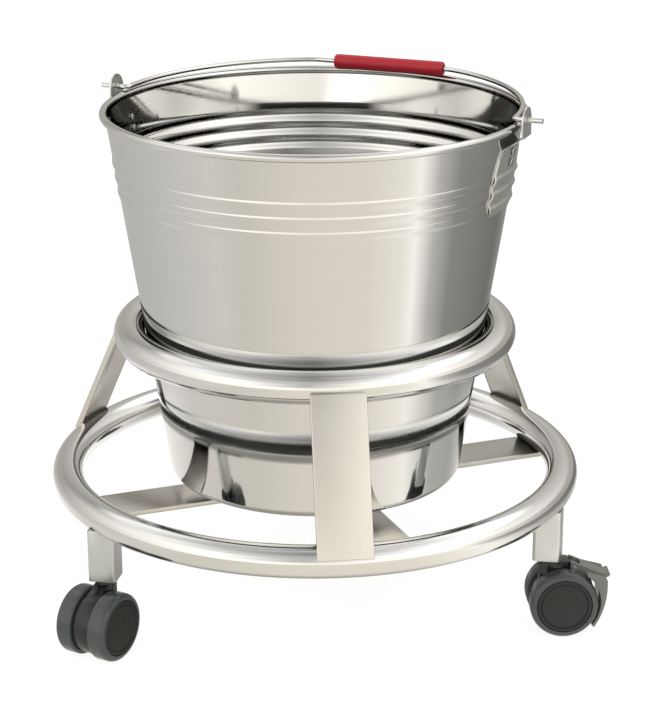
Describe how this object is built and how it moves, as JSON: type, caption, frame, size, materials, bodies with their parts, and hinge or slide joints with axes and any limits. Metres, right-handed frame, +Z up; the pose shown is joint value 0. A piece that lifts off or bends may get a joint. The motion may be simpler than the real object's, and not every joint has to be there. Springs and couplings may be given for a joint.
{
  "type": "surgical kick bucket",
  "caption": "Tapered stainless steel pail with a wire bail and red grip, hung in a two-ring tubular stand on swivel twin-wheel casters, pushed about by foot in an operating room.",
  "frame": {"origin": "on the floor, on the pail's vertical axis", "axes": "+Z up; the front of the stand faces -Y; +X is the viewer's right when facing the front"},
  "size_m": [0.4468, 0.4551, 0.4185],
  "materials": {
    "polished_steel": "mirror-polished stainless steel",
    "satin_steel": "satin stainless steel tube, flat bar and sheet",
    "zinc_steel": "zinc-plated steel",
    "dark_nylon": "near-black moulded nylon, semi-gloss",
    "grey_tread": "grey non-marking rubber tread",
    "dark_disc": "dark grey moulded plastic disc",
    "red_grip": "red moulded plastic"
  },
  "bodies": {
    "stand": {"upper_ring": "satin_steel", "lower_ring": "satin_steel", "upright_front": "satin_steel", "upright_right": "satin_steel", "upright_left": "satin_steel", "cross_bar": "satin_steel", "cross_arm_front": "satin_steel", "cross_arm_back": "satin_steel", "leg_front_left": "satin_steel", "leg_front_right": "satin_steel", "leg_back": "satin_steel", "leg_socket_front_left": "dark_nylon", "leg_socket_front_right": "dark_nylon", "leg_socket_back": "dark_nylon"},
    "bucket": {"bucket_shell": "polished_steel", "ear_right": "satin_steel", "ear_left": "satin_steel", "ear_rivet_right_1": "zinc_steel", "ear_rivet_right_2": "zinc_steel", "ear_rivet_left_1": "zinc_steel", "ear_rivet_left_2": "zinc_steel"},
    "bail": {"bail_wire": "polished_steel"},
    "grip": {"grip": "red_grip"},
    "caster_front_left": {"caster_stem_front_left": "zinc_steel", "caster_body_front_left": "dark_nylon", "caster_axle_front_left": "zinc_steel"},
    "wheel_front_left_near": {"wheel_hub_front_left_near": "dark_disc", "wheel_tyre_front_left_near": "grey_tread"},
    "wheel_front_left_far": {"wheel_hub_front_left_far": "dark_disc", "wheel_tyre_front_left_far": "grey_tread"},
    "caster_front_right": {"caster_stem_front_right": "zinc_steel", "caster_body_front_right": "dark_nylon", "caster_axle_front_right": "zinc_steel", "brake_pin": "zinc_steel"},
    "brake": {"brake_pedal": "dark_nylon"},
    "wheel_front_right_near": {"wheel_hub_front_right_near": "dark_disc", "wheel_tyre_front_right_near": "grey_tread"},
    "wheel_front_right_far": {"wheel_hub_front_right_far": "dark_disc", "wheel_tyre_front_right_far": "grey_tread"},
    "caster_back": {"caster_stem_back": "zinc_steel", "caster_body_back": "dark_nylon", "caster_axle_back": "zinc_steel"},
    "wheel_back_near": {"wheel_hub_back_near": "dark_disc", "wheel_tyre_back_near": "grey_tread"},
    "wheel_back_far": {"wheel_hub_back_far": "dark_disc", "wheel_tyre_back_far": "grey_tread"}
  },
  "joints": [
    {"name": "bucket_lift", "type": "slide", "parent": "stand", "child": "bucket", "axis": [0, 0, 1], "range_m": [0, 0.18]},
    {"name": "bail_swing", "type": "hinge", "parent": "bucket", "child": "bail", "pos_m": [0, 0, 0.4085], "axis": [0.9272, -0.3746, 0], "range_deg": [0, 177]},
    {"name": "grip_roll", "type": "hinge", "parent": "bail", "child": "grip", "pos_m": [0.05596, 0.1385, 0.41137], "axis": [0.9272, -0.3746, 0], "continuous": true},
    {"name": "front_left_swivel", "type": "hinge", "parent": "stand", "child": "caster_front_left", "pos_m": [-0.16245, -0.11803, 0.0605], "axis": [0, 0, 1], "continuous": true},
    {"name": "front_left_near_wheel_spin", "type": "hinge", "parent": "caster_front_left", "child": "wheel_front_left_near", "pos_m": [-0.16845, -0.12842, 0.027], "axis": [0.866, -0.5, 0], "continuous": true},
    {"name": "front_left_far_wheel_spin", "type": "hinge", "parent": "caster_front_left", "child": "wheel_front_left_far", "pos_m": [-0.16845, -0.12842, 0.027], "axis": [0.866, -0.5, 0], "continuous": true},
    {"name": "front_right_swivel", "type": "hinge", "parent": "stand", "child": "caster_front_right", "pos_m": [0.18344, -0.08167, 0.0605], "axis": [0, 0, 1], "continuous": true},
    {"name": "brake_press", "type": "hinge", "parent": "caster_front_right", "child": "brake", "pos_m": [0.20443, -0.08094, 0.0545], "axis": [-0.0349, 0.9994, 0], "range_deg": [0, 4]},
    {"name": "front_right_near_wheel_spin", "type": "hinge", "parent": "caster_front_right", "child": "wheel_front_right_near", "pos_m": [0.19543, -0.08125, 0.027], "axis": [-0.0349, 0.9994, 0], "continuous": true},
    {"name": "front_right_far_wheel_spin", "type": "hinge", "parent": "caster_front_right", "child": "wheel_front_right_far", "pos_m": [0.19543, -0.08125, 0.027], "axis": [-0.0349, 0.9994, 0], "continuous": true},
    {"name": "back_swivel", "type": "hinge", "parent": "stand", "child": "caster_back", "pos_m": [-0.02099, 0.1997, 0.0605], "axis": [0, 0, 1], "continuous": true},
    {"name": "back_near_wheel_spin", "type": "hinge", "parent": "caster_back", "child": "wheel_back_near", "pos_m": [-0.02224, 0.21163, 0.027], "axis": [-0.9945, -0.1045, 0], "continuous": true},
    {"name": "back_far_wheel_spin", "type": "hinge", "parent": "caster_back", "child": "wheel_back_far", "pos_m": [-0.02224, 0.21163, 0.027], "axis": [-0.9945, -0.1045, 0], "continuous": true}
  ]
}
